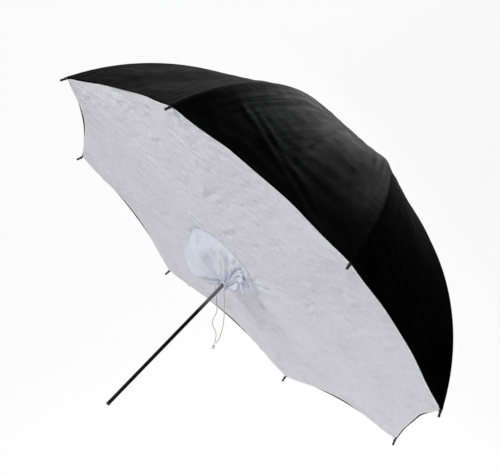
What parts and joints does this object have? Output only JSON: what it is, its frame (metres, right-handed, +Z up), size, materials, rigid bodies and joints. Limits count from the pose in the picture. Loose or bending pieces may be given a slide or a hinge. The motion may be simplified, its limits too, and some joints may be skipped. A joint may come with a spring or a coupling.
{
  "type": "umbrella reflector",
  "caption": "Eight-ribbed black-backed studio umbrella with a white front diffuser, a drawstring sleeve round its shaft, a sliding runner and folding ribs.",
  "frame": {"origin": "on the shaft's axis where the stand's bracket grips it, level with the open face", "axes": "+Z up at the working tilt; the shaft lies in the X-Z plane and its crown end points to +X and 43.3 degrees up; +Y is across the face"},
  "size_m": [0.8067, 1.0872, 0.838],
  "materials": {
    "shaft_aluminium": "drawn tube, lightly brushed",
    "bright_steel": "nickel plated steel",
    "black_steel": "black coated steel rod",
    "black_plastic": "moulded, fine grain",
    "canopy_fabric": "black woven polyester outside, silver coating inside",
    "diffuser_fabric": "thin white translucent nylon",
    "sleeve_fabric": "thin white nylon, gathered",
    "drawstring_cord": "thin woven cord"
  },
  "bodies": {
    "root": {"shaft": "shaft_aluminium", "top_cap": "black_plastic", "notch": "black_plastic", "notch_wire": "bright_steel", "runner_stop": "shaft_aluminium", "shaft_end_plug": "black_plastic", "sleeve": "sleeve_fabric", "drawstring_left": "drawstring_cord", "drawstring_right": "drawstring_cord", "drawstring_knot": "drawstring_cord"},
    "runner": {"runner": "black_plastic"},
    "catch": {"catch_spring": "bright_steel"},
    "rib_assembly_1": {"rib_1": "black_steel", "rib_tip_1": "black_plastic", "rib_clip_1": "bright_steel", "canopy_gore_1": "canopy_fabric"},
    "stretcher_arm_1": {"stretcher_1": "bright_steel"},
    "diffuser_section_1": {"diffuser_panel_1": "diffuser_fabric"},
    "rib_assembly_2": {"rib_2": "black_steel", "rib_tip_2": "black_plastic", "rib_clip_2": "bright_steel", "canopy_gore_2": "canopy_fabric"},
    "stretcher_arm_2": {"stretcher_2": "bright_steel"},
    "diffuser_section_2": {"diffuser_panel_2": "diffuser_fabric"},
    "rib_assembly_3": {"rib_3": "black_steel", "rib_tip_3": "black_plastic", "rib_clip_3": "bright_steel", "canopy_gore_3": "canopy_fabric"},
    "stretcher_arm_3": {"stretcher_3": "bright_steel"},
    "diffuser_section_3": {"diffuser_panel_3": "diffuser_fabric"},
    "rib_assembly_4": {"rib_4": "black_steel", "rib_tip_4": "black_plastic", "rib_clip_4": "bright_steel", "canopy_gore_4": "canopy_fabric"},
    "stretcher_arm_4": {"stretcher_4": "bright_steel"},
    "diffuser_section_4": {"diffuser_panel_4": "diffuser_fabric"},
    "rib_assembly_5": {"rib_5": "black_steel", "rib_tip_5": "black_plastic", "rib_clip_5": "bright_steel", "canopy_gore_5": "canopy_fabric"},
    "stretcher_arm_5": {"stretcher_5": "bright_steel"},
    "diffuser_section_5": {"diffuser_panel_5": "diffuser_fabric"},
    "rib_assembly_6": {"rib_6": "black_steel", "rib_tip_6": "black_plastic", "rib_clip_6": "bright_steel", "canopy_gore_6": "canopy_fabric"},
    "stretcher_arm_6": {"stretcher_6": "bright_steel"},
    "diffuser_section_6": {"diffuser_panel_6": "diffuser_fabric"},
    "rib_assembly_7": {"rib_7": "black_steel", "rib_tip_7": "black_plastic", "rib_clip_7": "bright_steel", "canopy_gore_7": "canopy_fabric"},
    "stretcher_arm_7": {"stretcher_7": "bright_steel"},
    "diffuser_section_7": {"diffuser_panel_7": "diffuser_fabric"},
    "rib_assembly_8": {"rib_8": "black_steel", "rib_tip_8": "black_plastic", "rib_clip_8": "bright_steel", "canopy_gore_8": "canopy_fabric"},
    "stretcher_arm_8": {"stretcher_8": "bright_steel"},
    "diffuser_section_8": {"diffuser_panel_8": "diffuser_fabric"}
  },
  "joints": [
    {"name": "runner_slide", "type": "slide", "parent": "root", "child": "runner", "axis": [-0.7278, 0, -0.6858], "range_m": [0, 0.2776], "deforming": ["canopy_gore_1", "canopy_gore_2", "canopy_gore_3", "canopy_gore_4", "canopy_gore_5", "canopy_gore_6", "canopy_gore_7", "canopy_gore_8", "diffuser_panel_1", "diffuser_panel_2", "diffuser_panel_3", "diffuser_panel_4", "diffuser_panel_5", "diffuser_panel_6", "diffuser_panel_7", "diffuser_panel_8", "sleeve", "drawstring_left", "drawstring_right", "drawstring_knot"]},
    {"name": "catch_press", "type": "slide", "parent": "root", "child": "catch", "axis": [0.6478, 0.3282, -0.6875], "range_m": [0, 0.0024], "stiffness_N_per_m": 400},
    {"name": "rib_1_fold", "type": "hinge", "parent": "root", "child": "rib_assembly_1", "pos_m": [0.25433, 0.00067, 0.25545], "axis": [-0.04, -0.9983, 0.0424], "range_deg": [0, 52.04]},
    {"name": "stretcher_1_swing", "type": "hinge", "parent": "rib_assembly_1", "child": "stretcher_arm_1", "pos_m": [0.08805, 0.01215, 0.36913], "axis": [0.04, 0.9983, -0.0424], "range_deg": [0, 104.06]},
    {"name": "diffuser_1_tuck", "type": "hinge", "parent": "rib_assembly_1", "child": "diffuser_section_1", "pos_m": [-0.36526, 0.03108, 0.38761], "axis": [-0.04, -0.9983, 0.0424], "range_deg": [0, 37.98]},
    {"name": "rib_2_fold", "type": "hinge", "parent": "root", "child": "rib_assembly_2", "pos_m": [0.25631, -0.00764, 0.25334], "axis": [0.4559, -0.7471, -0.4838], "range_deg": [0, 52.04]},
    {"name": "stretcher_2_swing", "type": "hinge", "parent": "rib_assembly_2", "child": "stretcher_arm_2", "pos_m": [0.12399, -0.13867, 0.331], "axis": [-0.4559, 0.7471, 0.4838], "range_deg": [0, 104.06]},
    {"name": "diffuser_2_tuck", "type": "hinge", "parent": "rib_assembly_2", "child": "diffuser_section_2", "pos_m": [-0.27335, -0.35462, 0.29007], "axis": [0.4559, -0.7471, -0.4838], "range_deg": [0, 37.98]},
    {"name": "rib_3_fold", "type": "hinge", "parent": "root", "child": "rib_assembly_3", "pos_m": [0.26175, -0.01148, 0.24758], "axis": [0.6847, -0.0583, -0.7265], "range_deg": [0, 52.04]},
    {"name": "stretcher_3_swing", "type": "hinge", "parent": "rib_assembly_3", "child": "stretcher_arm_3", "pos_m": [0.22254, -0.20826, 0.22642], "axis": [-0.6847, 0.0583, 0.7265], "range_deg": [0, 104.06]},
    {"name": "diffuser_3_tuck", "type": "hinge", "parent": "rib_assembly_3", "child": "diffuser_section_3", "pos_m": [-0.02132, -0.53259, 0.02262], "axis": [0.6847, -0.0583, -0.7265], "range_deg": [0, 37.98]},
    {"name": "rib_4_fold", "type": "hinge", "parent": "root", "child": "rib_assembly_4", "pos_m": [0.26745, -0.00859, 0.24153], "axis": [0.5124, 0.6647, -0.5437], "range_deg": [0, 52.04]},
    {"name": "stretcher_4_swing", "type": "hinge", "parent": "rib_assembly_4", "child": "stretcher_arm_4", "pos_m": [0.32598, -0.15585, 0.11665], "axis": [-0.5124, -0.6647, 0.5437], "range_deg": [0, 104.06]},
    {"name": "diffuser_4_tuck", "type": "hinge", "parent": "rib_assembly_4", "child": "diffuser_section_4", "pos_m": [0.24321, -0.39858, -0.25808], "axis": [0.5124, 0.6647, -0.5437], "range_deg": [0, 37.98]},
    {"name": "rib_5_fold", "type": "hinge", "parent": "root", "child": "rib_assembly_5", "pos_m": [0.27008, -0.00067, 0.23874], "axis": [0.04, 0.9983, -0.0424], "range_deg": [0, 52.04]},
    {"name": "stretcher_5_swing", "type": "hinge", "parent": "rib_assembly_5", "child": "stretcher_arm_5", "pos_m": [0.37371, -0.01215, 0.06601], "axis": [-0.04, -0.9983, 0.0424], "range_deg": [0, 104.06]},
    {"name": "diffuser_5_tuck", "type": "hinge", "parent": "rib_assembly_5", "child": "diffuser_section_5", "pos_m": [0.36526, -0.03108, -0.38761], "axis": [0.04, 0.9983, -0.0424], "range_deg": [0, 37.98]},
    {"name": "rib_6_fold", "type": "hinge", "parent": "root", "child": "rib_assembly_6", "pos_m": [0.2681, 0.00764, 0.24084], "axis": [-0.4559, 0.7471, 0.4838], "range_deg": [0, 52.04]},
    {"name": "stretcher_6_swing", "type": "hinge", "parent": "rib_assembly_6", "child": "stretcher_arm_6", "pos_m": [0.33777, 0.13867, 0.10414], "axis": [0.4559, -0.7471, -0.4838], "range_deg": [0, 104.06]},
    {"name": "diffuser_6_tuck", "type": "hinge", "parent": "rib_assembly_6", "child": "diffuser_section_6", "pos_m": [0.27335, 0.35462, -0.29008], "axis": [-0.4559, 0.7471, 0.4838], "range_deg": [0, 37.98]},
    {"name": "rib_7_fold", "type": "hinge", "parent": "root", "child": "rib_assembly_7", "pos_m": [0.26267, 0.01148, 0.2466], "axis": [-0.6847, 0.0583, 0.7265], "range_deg": [0, 52.04]},
    {"name": "stretcher_7_swing", "type": "hinge", "parent": "rib_assembly_7", "child": "stretcher_arm_7", "pos_m": [0.23922, 0.20826, 0.20872], "axis": [0.6847, -0.0583, -0.7265], "range_deg": [0, 104.06]},
    {"name": "diffuser_7_tuck", "type": "hinge", "parent": "rib_assembly_7", "child": "diffuser_section_7", "pos_m": [0.02132, 0.53259, -0.02262], "axis": [-0.6847, 0.0583, 0.7265], "range_deg": [0, 37.98]},
    {"name": "rib_8_fold", "type": "hinge", "parent": "root", "child": "rib_assembly_8", "pos_m": [0.25696, 0.00859, 0.25265], "axis": [-0.5124, -0.6647, 0.5437], "range_deg": [0, 52.04]},
    {"name": "stretcher_8_swing", "type": "hinge", "parent": "rib_assembly_8", "child": "stretcher_arm_8", "pos_m": [0.13578, 0.15585, 0.31849], "axis": [0.5124, 0.6647, -0.5437], "range_deg": [0, 104.06]},
    {"name": "diffuser_8_tuck", "type": "hinge", "parent": "rib_assembly_8", "child": "diffuser_section_8", "pos_m": [-0.24321, 0.39858, 0.25808], "axis": [-0.5124, -0.6647, 0.5437], "range_deg": [0, 37.98]}
  ],
  "couplings": [
    {"joint": "rib_1_fold", "follows": "runner_slide", "rad_per_m": 3.2707},
    {"joint": "stretcher_1_swing", "follows": "runner_slide", "rad_per_m": 6.5413},
    {"joint": "diffuser_1_tuck", "follows": "runner_slide", "rad_per_m": 2.3864},
    {"joint": "rib_2_fold", "follows": "runner_slide", "rad_per_m": 3.2707},
    {"joint": "stretcher_2_swing", "follows": "runner_slide", "rad_per_m": 6.5413},
    {"joint": "diffuser_2_tuck", "follows": "runner_slide", "rad_per_m": 2.3864},
    {"joint": "rib_3_fold", "follows": "runner_slide", "rad_per_m": 3.2707},
    {"joint": "stretcher_3_swing", "follows": "runner_slide", "rad_per_m": 6.5413},
    {"joint": "diffuser_3_tuck", "follows": "runner_slide", "rad_per_m": 2.3864},
    {"joint": "rib_4_fold", "follows": "runner_slide", "rad_per_m": 3.2707},
    {"joint": "stretcher_4_swing", "follows": "runner_slide", "rad_per_m": 6.5413},
    {"joint": "diffuser_4_tuck", "follows": "runner_slide", "rad_per_m": 2.3864},
    {"joint": "rib_5_fold", "follows": "runner_slide", "rad_per_m": 3.2707},
    {"joint": "stretcher_5_swing", "follows": "runner_slide", "rad_per_m": 6.5413},
    {"joint": "diffuser_5_tuck", "follows": "runner_slide", "rad_per_m": 2.3864},
    {"joint": "rib_6_fold", "follows": "runner_slide", "rad_per_m": 3.2707},
    {"joint": "stretcher_6_swing", "follows": "runner_slide", "rad_per_m": 6.5413},
    {"joint": "diffuser_6_tuck", "follows": "runner_slide", "rad_per_m": 2.3864},
    {"joint": "rib_7_fold", "follows": "runner_slide", "rad_per_m": 3.2707},
    {"joint": "stretcher_7_swing", "follows": "runner_slide", "rad_per_m": 6.5413},
    {"joint": "diffuser_7_tuck", "follows": "runner_slide", "rad_per_m": 2.3864},
    {"joint": "rib_8_fold", "follows": "runner_slide", "rad_per_m": 3.2707},
    {"joint": "stretcher_8_swing", "follows": "runner_slide", "rad_per_m": 6.5413},
    {"joint": "diffuser_8_tuck", "follows": "runner_slide", "rad_per_m": 2.3864}
  ]
}
